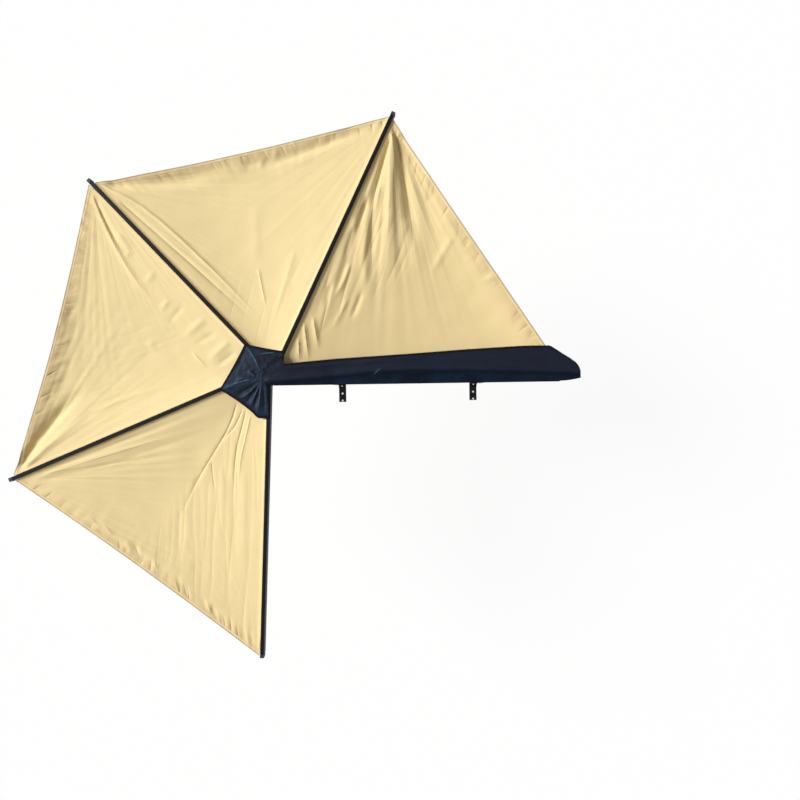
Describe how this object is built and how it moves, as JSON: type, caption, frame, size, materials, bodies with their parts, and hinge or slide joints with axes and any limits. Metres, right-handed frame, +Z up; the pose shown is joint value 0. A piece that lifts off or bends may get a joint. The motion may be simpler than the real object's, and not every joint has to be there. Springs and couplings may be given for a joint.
{
  "type": "vehicle side awning",
  "caption": "Fan-shaped awning for a vehicle's side and rear: arms on one hub pin spread fabric panels, with drop legs and a rail bolted to a roof rack.",
  "frame": {"origin": "underside of the rear mounting bracket's foot, midway between its two rack bolts", "axes": "+X forward along the vehicle and the rail, +Y away from the vehicle, +Z up"},
  "size_m": [4.0167, 3.821, 0.2477],
  "materials": {
    "black_coated_aluminium": "satin black powder coat",
    "black_coated_steel": "satin black powder coat",
    "plated_steel": "zinc plated",
    "nylon": "natural",
    "black_plastic": "fine moulded grain",
    "rubber": "matt",
    "leg_aluminium": "satin anodised",
    "tan_canvas": "coated canvas",
    "cover_cloth": "semi-gloss coated cloth"
  },
  "bodies": {
    "root": {"back_rail": "black_coated_aluminium", "rail_end_cap": "black_plastic", "hub_bracket": "black_coated_steel", "pivot_pin": "plated_steel", "pivot_nut": "plated_steel", "thrust_washer_1": "nylon", "thrust_washer_2": "nylon", "thrust_washer_3": "nylon", "thrust_washer_4": "nylon", "thrust_washer_5": "nylon", "hub_bolt_1": "plated_steel", "hub_bolt_2": "plated_steel", "mounting_bracket_rear": "black_coated_steel", "mounting_bracket_front": "black_coated_steel", "rack_bolt_rear_1": "plated_steel", "rack_bolt_rear_2": "plated_steel", "rack_bolt_front_1": "plated_steel", "rack_bolt_front_2": "plated_steel", "rail_bolt_rear": "plated_steel", "rail_bolt_front": "plated_steel", "cover_upper_flap": "cover_cloth", "cover_lower_flap": "cover_cloth", "hub_cover": "cover_cloth"},
    "arm_1": {"rafter_1": "black_coated_aluminium", "knuckle_1": "black_coated_steel", "tip_bracket_1": "black_plastic", "leg_pin_1": "plated_steel", "canopy_panel_a": "tan_canvas"},
    "leg_1_outer": {"leg_outer_tube_1": "leg_aluminium"},
    "leg_1_middle": {"leg_middle_tube_1": "leg_aluminium"},
    "leg_1_inner": {"leg_inner_tube_1": "leg_aluminium", "leg_foot_1": "rubber"},
    "arm_2": {"rafter_2": "black_coated_aluminium", "knuckle_2": "black_coated_steel", "tip_bracket_2": "black_plastic", "leg_pin_2": "plated_steel", "canopy_panel_b": "tan_canvas"},
    "leg_2_outer": {"leg_outer_tube_2": "leg_aluminium"},
    "leg_2_middle": {"leg_middle_tube_2": "leg_aluminium"},
    "leg_2_inner": {"leg_inner_tube_2": "leg_aluminium", "leg_foot_2": "rubber"},
    "arm_3": {"rafter_3": "black_coated_aluminium", "knuckle_3": "black_coated_steel", "tip_bracket_3": "black_plastic", "leg_pin_3": "plated_steel", "canopy_panel_c": "tan_canvas"},
    "leg_3_outer": {"leg_outer_tube_3": "leg_aluminium"},
    "leg_3_middle": {"leg_middle_tube_3": "leg_aluminium"},
    "leg_3_inner": {"leg_inner_tube_3": "leg_aluminium", "leg_foot_3": "rubber"},
    "arm_4": {"rafter_4": "black_coated_aluminium", "knuckle_4": "black_coated_steel", "tip_bracket_4": "black_plastic", "leg_pin_4": "plated_steel", "canopy_panel_d": "tan_canvas"},
    "leg_4_outer": {"leg_outer_tube_4": "leg_aluminium"},
    "leg_4_middle": {"leg_middle_tube_4": "leg_aluminium"},
    "leg_4_inner": {"leg_inner_tube_4": "leg_aluminium", "leg_foot_4": "rubber"}
  },
  "joints": [
    {"name": "arm_1_swing", "type": "hinge", "parent": "root", "child": "arm_1", "pos_m": [-0.536, 0.198, 0.035], "axis": [0, 0, 1], "range_deg": [-64.5, 0], "deforming": ["canopy_panel_a", "hub_cover", "cover_upper_flap"]},
    {"name": "arm_2_swing", "type": "hinge", "parent": "arm_1", "child": "arm_2", "pos_m": [-0.536, 0.198, 0.035], "axis": [0, 0, 1], "range_deg": [-68.5, 0], "deforming": ["canopy_panel_b"]},
    {"name": "arm_3_swing", "type": "hinge", "parent": "arm_2", "child": "arm_3", "pos_m": [-0.536, 0.198, 0.035], "axis": [0, 0, 1], "range_deg": [-69.4, 0], "deforming": ["canopy_panel_c"]},
    {"name": "arm_4_swing", "type": "hinge", "parent": "arm_3", "child": "arm_4", "pos_m": [-0.536, 0.198, 0.035], "axis": [0, 0, 1], "range_deg": [-65.2, 0], "deforming": ["canopy_panel_d"]},
    {"name": "leg_1_drop", "type": "hinge", "parent": "arm_1", "child": "leg_1_outer", "pos_m": [0.38713, 1.98241, 0.0195], "axis": [0.9026, -0.4305, 0], "range_deg": [0, 90]},
    {"name": "leg_1_upper_slide", "type": "slide", "parent": "leg_1_outer", "child": "leg_1_middle", "axis": [-0.4305, -0.9026, 0], "range_m": [0, 0.5]},
    {"name": "leg_1_lower_slide", "type": "slide", "parent": "leg_1_middle", "child": "leg_1_inner", "axis": [-0.4305, -0.9026, 0], "range_m": [0, 0.5]},
    {"name": "leg_2_drop", "type": "hinge", "parent": "arm_2", "child": "leg_2_outer", "pos_m": [-1.75125, 1.54372, 0.0195], "axis": [0.7314, 0.682, 0], "range_deg": [0, 90]},
    {"name": "leg_2_upper_slide", "type": "slide", "parent": "leg_2_outer", "child": "leg_2_middle", "axis": [0.682, -0.7314, 0], "range_m": [0, 0.5]},
    {"name": "leg_2_lower_slide", "type": "slide", "parent": "leg_2_middle", "child": "leg_2_inner", "axis": [0.682, -0.7314, 0], "range_m": [0, 0.5]},
    {"name": "leg_3_drop", "type": "hinge", "parent": "arm_3", "child": "leg_3_outer", "pos_m": [-2.33163, -0.54427, 0.0195], "axis": [-0.3811, 0.9245, 0], "range_deg": [0, 90]},
    {"name": "leg_3_upper_slide", "type": "slide", "parent": "leg_3_outer", "child": "leg_3_middle", "axis": [0.9245, 0.3811, 0], "range_m": [0, 0.5]},
    {"name": "leg_3_lower_slide", "type": "slide", "parent": "leg_3_middle", "child": "leg_3_inner", "axis": [0.9245, 0.3811, 0], "range_m": [0, 0.5]},
    {"name": "leg_4_drop", "type": "hinge", "parent": "arm_4", "child": "leg_4_outer", "pos_m": [-0.58712, -1.80962, 0.0195], "axis": [-0.9991, 0.0419, 0], "range_deg": [0, 90]},
    {"name": "leg_4_upper_slide", "type": "slide", "parent": "leg_4_outer", "child": "leg_4_middle", "axis": [0.0419, 0.9991, 0], "range_m": [0, 0.5]},
    {"name": "leg_4_lower_slide", "type": "slide", "parent": "leg_4_middle", "child": "leg_4_inner", "axis": [0.0419, 0.9991, 0], "range_m": [0, 0.5]}
  ]
}
